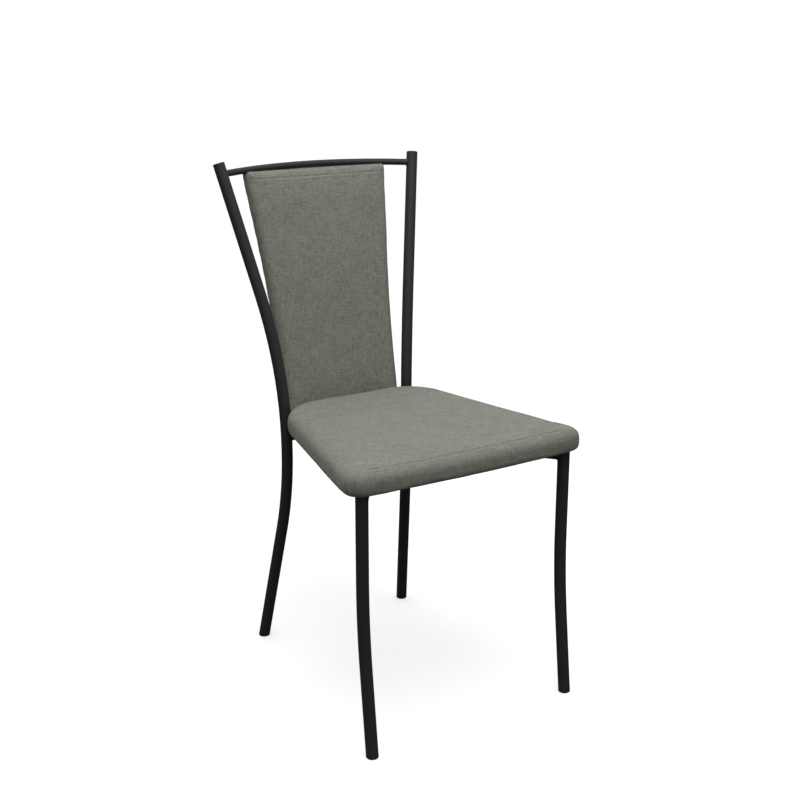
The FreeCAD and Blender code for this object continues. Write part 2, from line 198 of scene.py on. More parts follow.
def wovenCloth(name, look, contrast):
    material, g = newFinish(name)
    place = g.placeHere()
    x, y, z = g.split(place)
    nx, ny, nz = [abs(n) for n in g.split(g.node("ShaderNodeNewGeometry", {}, {}, "Normal"))]
    # The cloth's own directions: level on the top, upright on the front and the sides
    onTop = nz > look["topShare"]
    facing = ny > nx
    across = onTop * x + (1 - onTop) * (facing * x + (1 - facing) * y)
    along = onTop * y + (1 - onTop) * z
    drift = g.split(g.cloud(place, 70.0, 1.0, 0.5, 1))
    u = across * 1000 + drift[0] * look["wander"]
    v = along * 1000 + drift[1] * look["wander"]
    # Over and under, yarn by yarn
    columnNumber = (u / look["pitch"]).maths("FLOOR")
    rowNumber = (v / look["pitch"]).maths("FLOOR")
    over = ((columnNumber + rowNumber) * 0.5).maths("FRACT") > 0.25
    inColumn = (u / look["pitch"]).maths("FRACT") * 2 - 1
    inRow = (v / look["pitch"]).maths("FRACT") * 2 - 1
    roundColumn = 1 - inColumn * inColumn
    roundRow = 1 - inRow * inRow
    warp = over * roundColumn * (0.55 + roundRow * 0.45)
    weft = (1 - over) * roundRow * (0.55 + roundColumn * 0.45)
    yarn = warp + weft
    # Thick and thin stretches along each yarn
    thin = 1 / (look["pitch"] * 1.1)
    long = 1 / look["slubLength"]
    slubWarp = g.cloud(g.joined(u * thin, v * long, 3.0), 1.0, 2.0, 0.6)
    slubWeft = g.cloud(g.joined(u * long, v * thin, 11.0), 1.0, 2.0, 0.6)
    coarseWarp = g.cloud(g.joined(u * 0.28, v * 0.045, 23.0), 1.0, 1.0, 0.5)
    coarseWeft = g.cloud(g.joined(u * 0.045, v * 0.28, 31.0), 1.0, 1.0, 0.5)
    mottle = g.cloud(place, look["mottle"], 3.0, 0.55)
    patch = g.cloud(place, look["patch"], 2.0, 0.5)
    slub = (slubWarp - 0.5) * (0.35 + over) + (slubWeft - 0.5) * (1.35 - over)
    coarse = (coarseWarp - 0.5) + (coarseWeft - 0.5)
    shade = 0.5 + slub + coarse * 0.34 + (mottle - 0.5) * 0.22 + (patch - 0.5) * 0.12
    shade = shade + (over - 0.5) * 0.16 + (yarn - 0.5) * 0.42
    shade = (shade - 0.5) * contrast + 0.5
    colour = g.mixed(g.clamped(shade), look["dark"], look["light"])
    height = yarn * 0.6 + slub * 0.5 + coarse * 0.3
    g.surface(
        Base_Color=colour, Roughness=g.clamped(0.9 + slub * 0.12 - yarn * 0.05),
        Normal=g.bumped(height, look["relief"] * mm, look["bump"]),
        Specular_IOR_Level=0.22, Sheen_Weight=0.12, Sheen_Roughness=0.55, Sheen_Tint=(0.9, 0.9, 0.84))
    return material


# Satin black powder coat: fine orange peel, rubbed spots near the floor
paintLook = {
    "base": (0.0245, 0.0245, 0.0246), "worn": (0.038, 0.0375, 0.037), "peel": 700.0, "scuffBelow": 0.07,
}


def powderCoat(name, look):
    material, g = newFinish(name)
    place = g.placeHere()
    x, y, z = g.split(place)
    peel = g.cloud(place, look["peel"], 2.0, 0.45)
    cloudy = g.cloud(place, 26.0, 3.0, 0.6)
    low = g.clamped(1 - z / look["scuffBelow"])
    scratch = g.cloud(g.joined(x * 420, y * 420, z * 60), 1.0, 3.0, 0.65)
    rubbed = g.clamped((scratch - 0.56) * 7) * low * 0.8
    colour = g.mixed(g.clamped(rubbed + (cloudy - 0.45) * 0.25), look["base"], look["worn"])
    rough = g.clamped(0.55 + (cloudy - 0.5) * 0.16 + (peel - 0.5) * 0.08 + rubbed * 0.25)
    g.surface(
        Base_Color=colour, Roughness=rough, Normal=g.bumped(peel + scratch * low * 0.3, 0.12 * mm, 0.35),
        Specular_IOR_Level=0.24)
    return material


# Moulded black plastic of the caps and feet
plasticLook = {
    "cap": {"base": (0.012, 0.012, 0.012), "worn": (0.03, 0.03, 0.03), "rough": 0.5},
    "foot": {"base": (0.010, 0.010, 0.010), "worn": (0.07, 0.068, 0.062), "rough": 0.56},
}


def mouldedPlastic(name, look):
    material, g = newFinish(name)
    place = g.placeHere()
    x, y, z = g.split(place)
    grain = g.cloud(place, 1500.0, 2.0, 0.5)
    grime = g.cloud(place, 160.0, 4.0, 0.6)
    nearFloor = g.clamped(1 - z / 0.006)
    worn = g.clamped((grime - 0.42) * 2.2) * (0.16 + nearFloor * 0.75)
    colour = g.mixed(worn, look["base"], look["worn"])
    rough = g.clamped(look["rough"] + worn * 0.3 + (grain - 0.5) * 0.12)
    g.surface(
        Base_Color=colour, Roughness=rough, Normal=g.bumped(grain, 0.05 * mm, 0.4),
        Specular_IOR_Level=0.45)
    return material


def zincPlate(name):
    material, g = newFinish(name)
    place = g.placeHere()
    spangle = g.node("ShaderNodeTexVoronoi", {}, {"Vector": place, "Scale": 900.0}, "Color")
    tone = g.split(spangle)[0]
    haze = g.cloud(place, 300.0, 3.0, 0.6)
    colour = g.mixed(g.clamped(tone * 0.5 + haze * 0.5), (0.42, 0.43, 0.45), (0.66, 0.66, 0.64))
    g.surface(
        Base_Color=colour, Metallic=0.92, Roughness=g.clamped(0.26 + haze * 0.22),
        Normal=g.bumped(haze, 0.03 * mm, 0.3))
    return material


def beechPly(name, layers):
    # layers: the direction across the veneers, as weights of X, Y and Z
    material, g = newFinish(name)
    place = g.placeHere()
    x, y, z = g.split(place)
    depth = x * layers[0] + y * layers[1] + z * layers[2]
    wave = g.cloud(place, 14.0, 2.0, 0.5)
    grain = g.cloud(g.joined(x * 16, y * 240, z * 240 + wave * 3), 1.0, 4.0, 0.6)
    veneer = (depth * 1000 / 1.5 * 0.5).maths("FRACT") > 0.5
    pores = g.clamped((g.cloud(g.joined(x * 120, y * 1600, z * 1600), 1.0, 2.0, 0.5) - 0.6) * 6)
    colour = g.mixed(g.clamped(grain * 0.8 + veneer * 0.25), (0.62, 0.46, 0.29), (0.40, 0.26, 0.14))
    colour = g.mixed(pores * 0.5, colour, (0.2, 0.12, 0.06))
    g.surface(
        Base_Color=colour, Roughness=g.clamped(0.6 + grain * 0.25),
        Normal=g.bumped(grain + pores * -0.5, 0.1 * mm, 0.4))
    return material


def foamRubber(name):
    material, g = newFinish(name)
    place = g.placeHere()
    cells = g.node("ShaderNodeTexVoronoi", {}, {"Vector": place, "Scale": 1100.0}, "Distance")
    tone = g.cloud(place, 30.0, 3.0, 0.5)
    colour = g.mixed(g.clamped(tone + cells * 0.4 - 0.2), (0.74, 0.69, 0.52), (0.83, 0.79, 0.64))
    g.surface(Base_Color=colour, Roughness=0.95, Normal=g.bumped(cells, 0.4 * mm, 0.7))
    return material


def spunCloth(name):
    # Black non-woven cloth: pressed dots in a lattice over loose fibres
    pitch = 2.2
    material, g = newFinish(name)
    place = g.placeHere()
    x, y, z = g.split(place)
    fibres = g.cloud(g.joined(x * 1500, y * 500, z * 900), 1.0, 4.0, 0.7)
    row = (y * 1000 / pitch).maths("FLOOR")
    shift = (row * 0.5).maths("FRACT")
    cx = (x * 1000 / pitch + shift).maths("FRACT") - 0.5
    cy = (y * 1000 / pitch).maths("FRACT") - 0.5
    dot = 1 - g.clamped((cx * cx + cy * cy) * 14)
    colour = g.mixed(g.clamped(fibres * 0.8 - dot * 0.3), (0.006, 0.006, 0.007), (0.03, 0.03, 0.032))
    g.surface(
        Base_Color=colour, Roughness=g.clamped(0.85 - dot * 0.25),
        Normal=g.bumped(fibres - dot, 0.15 * mm, 0.6), Specular_IOR_Level=0.3)
    return material


def spunThread(name):
    # Grey sewing thread, its twist showing as fine slanting bands
    material, g = newFinish(name)
    x, y, z = g.split(g.placeHere())
    twist = ((x * 2600 + z * 1900 + y * 900).maths("SINE") + 1) * 0.5
    g.surface(
        Base_Color=g.mixed(twist, (0.05, 0.05, 0.043), (0.12, 0.12, 0.105)),
        Roughness=g.clamped(0.6 + twist * 0.2), Normal=g.bumped(twist, 0.05 * mm, 0.5))
    return material


seatCloth = wovenCloth("seat_cloth", clothLook, clothLook["contrast"]["seat"])
backCloth = wovenCloth("back_cloth", clothLook, clothLook["contrast"]["back"])
paint = powderCoat("black_powder_coat", paintLook)
capPlastic = mouldedPlastic("cap_plastic", plasticLook["cap"])
footPlastic = mouldedPlastic("foot_plastic", plasticLook["foot"])
zinc = zincPlate("zinc_plate")
seatPly = beechPly("seat_plywood", (0, 0, 1))
backPly = beechPly("back_plywood", (0, 1, 0))
foam = foamRubber("foam_rubber")
dustCloth = spunCloth("dust_cloth")
threadCloth = spunThread("thread")
finishes = {
    "frame_paint": paint, "plug_plastic": capPlastic, "glide_plastic": footPlastic, "seat_fabric": seatCloth,
    "back_fabric": backCloth, "dust_cloth": dustCloth, "foam": foam, "plywood": seatPly, "fixings": zinc,
}


def coatFrame():
    # Every piece that comes from the CAD gets the finish its material slot names.
    slotOf = {s["node"]: s["material_slot"] for s in frame["record"]["subparts"]}
    for name, piece in nodes.items():
        piece.data.materials.clear()
        piece.data.materials.append(backPly if name == "back_board" else finishes[slotOf[name]])


coatFrame()
print("finishes made")


def newPiece(name, points, faces, finish):
    mesh = bpy.data.meshes.new(name)
    mesh.from_pydata([tuple(p) for p in points], [], faces)
    mesh.materials.append(finish)
    piece = bpy.data.objects.new(name, mesh)
    scene.collection.objects.link(piece)
    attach(piece, "root")
    return piece


def closedMesh(piece):
    # Outward normals, smooth shading.
    shape = bmesh.new()
    shape.from_mesh(piece.data)
    bmesh.ops.remove_doubles(shape, verts=shape.verts, dist=0.01 * mm)
    bmesh.ops.recalc_face_normals(shape, faces=shape.faces)
    shape.to_mesh(piece.data)
    shape.free()
    piece.data.polygons.foreach_set("use_smooth", [True] * len(piece.data.polygons))


def bake(piece):
    # The mesh as its modifiers leave it.
    made = bpy.data.meshes.new_from_object(piece.evaluated_get(bpy.context.evaluated_depsgraph_get()))
    piece.modifiers.clear()
    old = piece.data
    piece.data = made
    bpy.data.meshes.remove(old)
    made.name = piece.name
    made.polygons.foreach_set("use_smooth", [True] * len(made.polygons))


def pointsOf(piece):
    flat = np.empty(len(piece.data.vertices) * 3, np.float32)
    piece.data.vertices.foreach_get("co", flat)
    return flat.reshape(-1, 3).astype(float)


def normalsOf(piece):
    flat = np.empty(len(piece.data.vertices) * 3, np.float32)
    piece.data.vertex_normals.foreach_get("vector", flat)
    return flat.reshape(-1, 3).astype(float)


def setPoints(piece, points):
    piece.data.vertices.foreach_set("co", np.asarray(points, np.float32).ravel())
    piece.data.update()


def smoothStep(t):
    t = np.clip(t, 0, 1)
    return t * t * (3 - 2 * t)


def resampled(loop, step, soften=0):
    # A closed plan loop again, evenly spaced, with its corners eased over a few points.
    loop = np.vstack([loop, loop[:1]])
    along = np.concatenate([[0], np.cumsum(np.linalg.norm(np.diff(loop, axis=0), axis=1))])
    count = int(along[-1] / step)
    at = np.linspace(0, along[-1], count, endpoint=False)
    even = np.stack([np.interp(at, along, loop[:, k]) for k in range(loop.shape[1])], axis=1)
    for _ in range(soften):
        even = (np.roll(even, 1, 0) + 2 * even + np.roll(even, -1, 0)) / 4
    return even


def outwardOf(loop):
    # Unit normals in plan, pointing out of a loop that runs anticlockwise.
    along = np.roll(loop, -1, 0) - np.roll(loop, 1, 0)
    normal = np.stack([along[:, 1], -along[:, 0]], axis=1)
    return normal / np.linalg.norm(normal, axis=1, keepdims=True)


def planOutline(node, step, soften):
    # The convex outline of a CAD piece seen from above.
    flat = [Vector((v.co.x, v.co.y)) for v in nodes[node].data.vertices]
    hull = [flat[i] for i in convex_hull_2d(flat)]
    loop = np.array(hull, float)
    area = np.sum(loop[:, 0] * np.roll(loop[:, 1], -1) - np.roll(loop[:, 0], -1) * loop[:, 1])
    return resampled(loop if area > 0 else loop[::-1], step, soften)


def ringFaces(rings, count):
    faces = []
    for r in range(rings - 1):
        for i in range(count):
            j = (i + 1) % count
            faces.append((r * count + i, r * count + j, (r + 1) * count + j, (r + 1) * count + i))
    return faces


def roundedRim(bottom, top, lowRound, highRound, steps=7):
    # (inset, height) pairs from the bottom face up round the rim to the top face.
    quarter = [k * math.pi / 2 / steps for k in range(steps + 1)]
    low = [(lowRound - lowRound * math.sin(a), bottom + lowRound - lowRound * math.cos(a)) for a in quarter]
    high = [(highRound - highRound * math.cos(a), top - highRound + highRound * math.sin(a)) for a in quarter]
    return low + high


def padFromRings(name, rings, finish):
    # Rings run from the middle of the bottom face, round the rim, to the middle of the top face.
    count = len(rings[0])
    points = np.vstack(rings)
    faces = ringFaces(len(rings), count)
    faces.append(tuple(range(count))[::-1])
    faces.append(tuple((len(rings) - 1) * count + i for i in range(count)))
    piece = newPiece(name, points, faces, finish)
    closedMesh(piece)
    return piece


def evenCloth(piece, voxel, calm):
    # An even mesh to simulate, with the voxel steps smoothed out.
    remesh = piece.modifiers.new("even", "REMESH")
    remesh.mode = "VOXEL"
    remesh.voxel_size = voxel
    smooth = piece.modifiers.new("calm", "SMOOTH")
    smooth.factor = 0.5
    smooth.iterations = calm
    bake(piece)


def inflate(piece, held, cap, pressure, stiff):
    # Cloth under pressure for 20 frames. held: weight per point, 1 where the cloth is fixed.
    # cap: how far each point may move, reached softly.
    before = pointsOf(piece)
    group = piece.vertex_groups.new(name="held")
    for level in (0.25, 0.5, 0.75, 1.0):
        chosen = [int(i) for i in np.nonzero(np.abs(held - level) < 0.125)[0]]
        if chosen:
            group.add(chosen, level, "REPLACE")
    cloth = piece.modifiers.new("swell", "CLOTH")
    cloth.settings.quality = 6
    cloth.settings.mass = 0.3
    cloth.settings.tension_stiffness = stiff
    cloth.settings.compression_stiffness = stiff
    cloth.settings.shear_stiffness = stiff / 2
    cloth.settings.bending_stiffness = 0.8
    cloth.settings.air_damping = 3
    cloth.settings.use_pressure = True
    cloth.settings.uniform_pressure_force = pressure
    cloth.settings.vertex_group_mass = "held"
    cloth.settings.effector_weights.gravity = 0
    cloth.collision_settings.use_collision = False
    cloth.point_cache.frame_start = 1
    cloth.point_cache.frame_end = 20
    for step in range(1, 21):
        scene.frame_set(step)
    solved = piece.evaluated_get(bpy.context.evaluated_depsgraph_get()).to_mesh()
    flat = np.empty(len(solved.vertices) * 3, np.float32)
    solved.vertices.foreach_get("co", flat)
    moved = flat.reshape(-1, 3).astype(float) - before
    piece.modifiers.clear()
    piece.vertex_groups.clear()
    scene.frame_set(1)
    far = np.linalg.norm(moved, axis=1)
    share = np.where(far > 1e-9, cap * np.tanh(far / cap) / np.maximum(far, 1e-9), 1)
    setPoints(piece, before + moved * share[:, None])
    print(piece.name, "swelled up to", round(float(far.max()) * 1000, 1), "mm before the cap,",
          round(float((far * share).max()) * 1000, 1), "mm after")


def eased(piece, rounds, factor=0.5):
    smooth = piece.modifiers.new("ease", "SMOOTH")
    smooth.factor = factor
    smooth.iterations = rounds
    bake(piece)


def finer(piece):
    divide = piece.modifiers.new("finer", "SUBSURF")
    divide.levels = 1
    divide.render_levels = 1
    bake(piece)


def refineNear(piece, line, reach):
    # One more cut in the faces beside a seam.
    tree = treeOf(line)
    shape = bmesh.new()
    shape.from_mesh(piece.data)
    near = {v for v in shape.verts if tree.find(v.co)[2] < reach}
    edges = [e for e in shape.edges if e.verts[0] in near and e.verts[1] in near]
    bmesh.ops.subdivide_edges(shape, edges=edges, cuts=1, use_grid_fill=True)
    shape.to_mesh(piece.data)
    shape.free()
    piece.data.polygons.foreach_set("use_smooth", [True] * len(piece.data.polygons))


def treeOf(points):
    tree = KDTree(len(points))
    for i, p in enumerate(points):
        tree.insert(p, i)
    tree.balance()
    return tree


def sewn(piece, line, strength, seam):
    # Pulls a stitched line in, rolls the cloth up beside it and lets it pucker. line: points 1 mm apart.
    # strength: 0 to 1 along the line.
    tree = treeOf(line)
    points = pointsOf(piece)
    normals = normalsOf(piece)
    farthest = 2.2
    reach = seam["puckerReach"] * farthest
    for i, p in enumerate(points):
        _, at, far = tree.find(p)
        if far > reach:
            continue
        s = at * mm
        groove = -seam["depth"] * math.exp(-((far / seam["width"]) ** 2))
        roll = seam["roll"] * math.exp(-(((far - seam["rollAt"]) / seam["rollWidth"]) ** 2))
        beat = noise.noise(Vector((s / seam["puckerPitch"], seam["seed"], 0)))
        beat += 0.5 * noise.noise(Vector((s / seam["puckerPitch"] * 2.3, seam["seed"] + 5, 0)))
        pucker = seam["pucker"] * beat * math.exp(-far / seam["puckerReach"])
        pucker *= 1 - math.exp(-far / seam["width"])
        points[i] = p + normals[i] * (groove + roll + pucker) * strength[at]
    setPoints(piece, points)


def onSurface(piece, starts, direction):
    # Each start carried along a direction to the piece's surface.
    tree = BVHTree.FromObject(piece, bpy.context.evaluated_depsgraph_get())
    hits = []
    for start in starts:
        hit = tree.ray_cast(Vector(start), Vector(direction))[0]
        hits.append(hit if hit is not None else Vector(start))
    return hits


def evenLine(points, step=mm):
    points = np.array([tuple(p) for p in points], float)
    along = np.concatenate([[0], np.cumsum(np.linalg.norm(np.diff(points, axis=0), axis=1))])
    at = np.arange(0, along[-1], step)
    return [Vector(p) for p in np.stack([np.interp(at, along, points[:, k]) for k in range(3)], axis=1)]


# Seat pad: foam on plywood, its cover sewn along the front edge and stapled underneath
seatPad = {
    "lowRound": 10.5 * mm, "highRound": 20 * mm, "sideSlack": 0.5 * mm, "topSlack": 0.6 * mm,
    "voxel": 4.5 * mm, "pressure": 4.0, "stiffness": 15.0,
    "sideSwell": 1.6 * mm, "crown": 7.5 * mm, "crownReach": 105 * mm,
    "seamInset": 19 * mm, "seamHalf": 0.222, "seamFade": 0.022, "seamTurn": -0.55, "refine": 11 * mm,
    "soft": 0.5 * mm, "softWaves": 9.0, "fine": 0.35 * mm, "fineWaves": 26.0,
    "corner": Vector((0.222, -0.268)), "cornerReach": 0.034, "gatherCentre": Vector((0.21, -0.262)),
    "gather": 0.55 * mm, "gatherWaves": 17,
    "seam": {"depth": 1.1 * mm, "width": 1.9 * mm, "roll": 0.4 * mm, "rollAt": 4.2 * mm,
             "rollWidth": 2.2 * mm, "pucker": 0.7 * mm,
             "puckerReach": 9 * mm, "puckerPitch": 7 * mm, "seed": 2.0},
}
seatLow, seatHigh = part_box("seat_cover")


def makeSeatPad(look):
    outline = planOutline("seat_cover", 4 * mm, 3)
    outward = outwardOf(outline)
    centre = outline.mean(axis=0)
    top = seatHigh.z - look["topSlack"]
    rings = []

    def ring(inset, height, scale=1.0):
        flat = outline - outward * (inset + look["sideSlack"])
        flat = centre + (flat - centre) * scale
        rings.append(np.column_stack([flat, np.full(len(flat), height)]))

    for k in range(1, 10):
        ring(look["lowRound"], seatLow.z, k / 10)
    for inset, height in roundedRim(seatLow.z, top, look["lowRound"], look["highRound"]):
        ring(inset, height)
    for k in range(9, 0, -1):
        ring(look["highRound"], top, k / 10)
    pad = padFromRings("seat_pad", rings, seatCloth)
    evenCloth(pad, look["voxel"], 4)
    points = pointsOf(pad)
    edge = treeOf([Vector((p[0], p[1], 0)) for p in outline])
    inward = np.array([edge.find((p[0], p[1], 0))[2] for p in points])
    lift = smoothStep((points[:, 2] - seatLow.z) / (seatHigh.z - seatLow.z))
    growth = look["crown"] - look["sideSwell"]
    cap = look["sideSwell"] + growth * smoothStep(inward / look["crownReach"]) * lift
    held = np.where(points[:, 2] < seatLow.z + 2 * mm, 1.0, 0.0)
    inflate(pad, held, cap, look["pressure"], look["stiffness"])
    eased(pad, 3)
    finer(pad)
    # The seam along the front edge, where the top turns down
    front = [p for p in range(len(outline))
             if outward[p][1] < look["seamTurn"] and abs(outline[p][0]) < look["seamHalf"]]
    front.sort(key=lambda p: outline[p][0])
    starts = [(outline[p][0] - outward[p][0] * look["seamInset"],
               outline[p][1] - outward[p][1] * look["seamInset"], seatHigh.z + 0.05) for p in front]
    line = evenLine(onSurface(pad, starts, (0, 0, -1)))
    width = max(p.x for p in line)
    strength = [float(smoothStep((width - abs(p.x)) / look["seamFade"])) for p in line]
    refineNear(pad, line, look["refine"])
    sewn(pad, line, strength, look["seam"])
    softFolds(pad, look)
    pad.data.polygons.foreach_set("use_smooth", [True] * len(pad.data.polygons))
    return pad


def softFolds(pad, look):
    # Slight unevenness of stretched cloth over foam, and small gathers at the front corners.
    points = pointsOf(pad)
    normals = normalsOf(pad)
    for i, p in enumerate(points):
        if p[2] < seatLow.z + 1.5 * mm:
            continue
        soft = noise.noise(Vector(p) * look["softWaves"]) * look["soft"]
        soft += noise.noise(Vector(p) * look["fineWaves"] + up * 4) * look["fine"]
        flat = Vector((abs(p[0]), p[1]))
        corner = math.exp(-(((flat - look["corner"]).length / look["cornerReach"]) ** 2))
        spoke = flat - look["gatherCentre"]
        turn = math.atan2(spoke.y, spoke.x)
        side = smoothStep((0.97 - abs(normals[i][2])) / 0.4)
        phase = turn * look["gatherWaves"] + 2 * noise.noise(Vector((turn * 3, p[0] * 4, 7)))
        gather = math.sin(phase) * look["gather"] * corner * side
        points[i] = p + normals[i] * (soft + gather)
    setPoints(pad, points)


seatCushion = makeSeatPad(seatPad)
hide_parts("seat_cover", "seat_foam")
print("seat pad made,", len(seatCushion.data.polygons), "faces")

# Back panel: foam on moulded plywood, curved in plan and gently in profile
backPad = {
    "planRadius": 0.596, "profileRadius": 4.9, "topLean": math.radians(15.5), "railRadius": 6.35 * mm,
    "railHalf": 0.2094, "railArch": 4.8 * mm, "gap": 1 * mm, "half": 13.5 * mm, "bottomHalf": 0.1245,
    "topHalf": 0.151, "sideBend": 0.664, "sideBendRadius": 1.92, "bottomCorner": 12 * mm,
    "topCorner": 2.5 * mm, "topRun": 0.12, "topStart": 0.138,
    "rearRound": 2.5 * mm, "rollWidth": 18 * mm, "rollDrop": 15 * mm, "endShare": 0.3,
    "sideSlack": -4.5 * mm, "endSlack": -1.2 * mm, "faceSlack": 1.6 * mm, "voxel": 3.6 * mm, "calm": 2,
    "pressure": 4.0, "stiffness": 15.0, "sideSwell": 0.9 * mm, "crown": 5.0 * mm, "crownReach": 70 * mm,
    "seamInset": 14 * mm, "sideSeam": 0.15, "seamDrop": 35 * mm, "seamFade": 18 * mm, "rearStrength": 0.8,
    "refineFront": 9 * mm, "refineRear": 6 * mm,
    "soft": 0.7 * mm, "softWaves": 10.0, "fine": 0.3 * mm, "fineWaves": 28.0,
    "seam": {"depth": 0.6 * mm, "width": 1.8 * mm, "roll": 0.2 * mm, "rollAt": 4.0 * mm,
             "rollWidth": 2.2 * mm, "pucker": 0.4 * mm,
             "puckerReach": 8 * mm, "puckerPitch": 7 * mm, "seed": 31.0},
    "rearSeam": {"depth": 1.2 * mm, "width": 1.6 * mm, "roll": 0.4 * mm, "rollAt": 3.6 * mm,
                 "rollWidth": 1.9 * mm, "pucker": 0.35 * mm, "puckerReach": 7 * mm, "puckerPitch": 8 * mm,
                 "seed": 57.0},
}
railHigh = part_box("top_rail")[1]
railMiddle = Vector((0, railHigh.y - backPad["railRadius"], railHigh.z - backPad["railRadius"]))
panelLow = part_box("back_cover")[0].z


def panelPoint(x, height, offset, look=backPad):
    # A place on the panel from its X, its height and how far behind the middle surface it is.
    big = look["profileRadius"]
    centreY = railMiddle.y + big * math.cos(look["topLean"])
    centreZ = railMiddle.z - big * math.sin(look["topLean"])
    far = big + look["planRadius"] - math.sqrt((look["planRadius"] + offset) ** 2 - x * x)
    lean = math.asin((height - centreZ) / (big - offset))
    return Vector((x, centreY - far * math.cos(lean), centreZ + far * math.sin(lean)))


def cornerArc(before, corner, after, radius, step=2 * mm):
    before, corner, after = (Vector(p) for p in (before, corner, after))
    back = (before - corner).normalized()
    onward = (after - corner).normalized()
    halfTurn = (math.pi - back.angle(onward)) / 2
    reach = radius * math.tan(halfTurn)
    centre = corner + (back + onward).normalized() * (radius / math.cos(halfTurn))
    first = corner + back * reach - centre
    last = corner + onward * reach - centre
    count = max(3, int(radius * halfTurn * 2 / step))
    points = []
    for k in range(count + 1):
        t = k / count
        shares = (math.sin((1 - t) * 2 * halfTurn), math.sin(t * 2 * halfTurn))
        points.append(centre + (first * shares[0] + last * shares[1]) / math.sin(2 * halfTurn))
    return points


def panelOutline(look):
    # Right half from the bottom middle to the top middle, then mirrored. Anticlockwise in (X, height).
    ceiling = railMiddle.z - look["railRadius"] - look["gap"]
    topAt = lambda x: ceiling - look["railArch"] * (x / look["railHalf"]) ** 2
    corner = (look["topHalf"], topAt(look["topHalf"]))
    bend = (look["bottomHalf"], look["sideBend"])
    low = (look["bottomHalf"], panelLow)
    right = [Vector((0, panelLow))]
    right += cornerArc((0, panelLow), low, bend, look["bottomCorner"])
    right += cornerArc(low, bend, corner, look["sideBendRadius"])
    right += cornerArc(bend, corner, (look["topRun"], topAt(look["topRun"])), look["topCorner"])
    right += [Vector((x, topAt(x))) for x in np.linspace(look["topStart"], 0.0, 24)]
    left = [Vector((-p.x, p.y)) for p in right[1:-1]][::-1]
    return resampled(np.array([tuple(p) for p in right + left], float), 3.5 * mm, 1)


def makeBackPad(look):
    outline = panelOutline(look)
    outward = outwardOf(outline)
    middle = np.array([0.0, (panelLow + railMiddle.z) / 2])
    front = look["half"] - look["faceSlack"]
    rings = []

    slack = look["sideSlack"] * outward[:, :1] ** 2 + look["endSlack"] * outward[:, 1:] ** 2
    share = outward[:, :1] ** 2 + look["endShare"] * outward[:, 1:] ** 2

    def ring(inset, offset, scale=1.0):
        # The roll is wide along the sides and narrow along the top and the bottom
        flat = outline - outward * (inset * share + slack)
        flat = middle + (flat - middle) * scale
        rings.append(np.array([tuple(panelPoint(x, h, offset)) for x, h in flat]))

    # A tight turn at the rear, then a wide soft one up to the front face
    rim = roundedRim(-look["half"], front - look["rollDrop"], look["rearRound"], 0)[:9]
    steps = 12
    for k in range(steps + 1):
        turn = k / steps * math.pi / 2
        level = front - look["rollDrop"] * (1 - math.sin(turn))
        rim.append((look["rollWidth"] * (1 - math.cos(turn)), level))
    for k in range(1, 12):
        ring(look["rearRound"], look["half"], k / 12)
    for inset, level in rim:
        ring(inset, -level)
    for k in range(11, 0, -1):
        ring(look["rollWidth"], -front, k / 12)
    pad = padFromRings("back_pad", rings, backCloth)
    evenCloth(pad, look["voxel"], look["calm"])
    points = pointsOf(pad)
    edgeLine = [panelPoint(x, h, 0) for x, h in outline]
    edge = treeOf(edgeLine)
    inward = np.array([edge.find(p)[2] for p in points])
    behind = np.array([p[1] - panelPoint(p[0], p[2], 0).y for p in points])
    face = smoothStep((-behind) / look["half"])
    growth = look["crown"] - look["sideSwell"]
    cap = look["sideSwell"] + growth * smoothStep(inward / look["crownReach"]) * face
    held = np.where(behind > look["half"] - 1.5 * mm, 1.0, 0.0)
    inflate(pad, held, cap, look["pressure"], look["stiffness"])
    eased(pad, 1)
    finer(pad)
    # Seams: round the front just inside the rounded rim, strong along the top, and round the rear
    inner = outline - outward * look["seamInset"]
    start = int(np.argmin(outline[:, 1] + np.abs(outline[:, 0])))
    order = [(start + k) % len(outline) for k in range(len(outline) + 1)]
    direction = (0, 1, 0)
    starts = [tuple(panelPoint(inner[k][0], inner[k][1], 0) - Vector((0, 0.06, 0))) for k in order]
    frontLine = evenLine(onSurface(pad, starts, direction))
    topEdge = railMiddle.z - look["seamDrop"]
    atTop = [float(smoothStep((p.z - topEdge) / look["seamFade"])) for p in frontLine]
    strength = [look["sideSeam"] + (1 - look["sideSeam"]) * t for t in atTop]
    starts = [tuple(panelPoint(inner[k][0], inner[k][1], 0) + Vector((0, 0.06, 0))) for k in order]
    rearLine = evenLine(onSurface(pad, starts, (0, -1, 0)))
    refineNear(pad, frontLine, look["refineFront"])
    refineNear(pad, rearLine, look["refineRear"])
    sewn(pad, frontLine, strength, look["seam"])
    sewn(pad, rearLine, [look["rearStrength"]] * len(rearLine), look["rearSeam"])
    points = pointsOf(pad)
    normals = normalsOf(pad)
    for i, p in enumerate(points):
        soft = noise.noise(Vector(p) * look["softWaves"]) * look["soft"]
        soft += noise.noise(Vector(p) * look["fineWaves"] + up * 9) * look["fine"]
        points[i] = p + normals[i] * soft
    setPoints(pad, points)
    pad.data.polygons.foreach_set("use_smooth", [True] * len(pad.data.polygons))
    return pad


backCushion = makeBackPad(backPad)
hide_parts("back_cover", "back_foam")
print("back pad made,", len(backCushion.data.polygons), "faces")

# Black cloth stapled under the seat, drawn tight between the staples and a little loose elsewhere
dustSheet = {
    "rings": 56, "margin": 0.06 * mm, "thick": 0.28 * mm, "ripple": 0.8 * mm, "rippleFrom": 50 * mm,
    "scallop": 0.45 * mm, "scallopReach": 22 * mm, "pinned": 12 * mm,
    "stapleEvery": 38 * mm, "stapleInset": 7 * mm, "clearOfTube": 19 * mm, "eased": 22 * mm,
}
clothLow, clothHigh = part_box("seat_dust_cover")


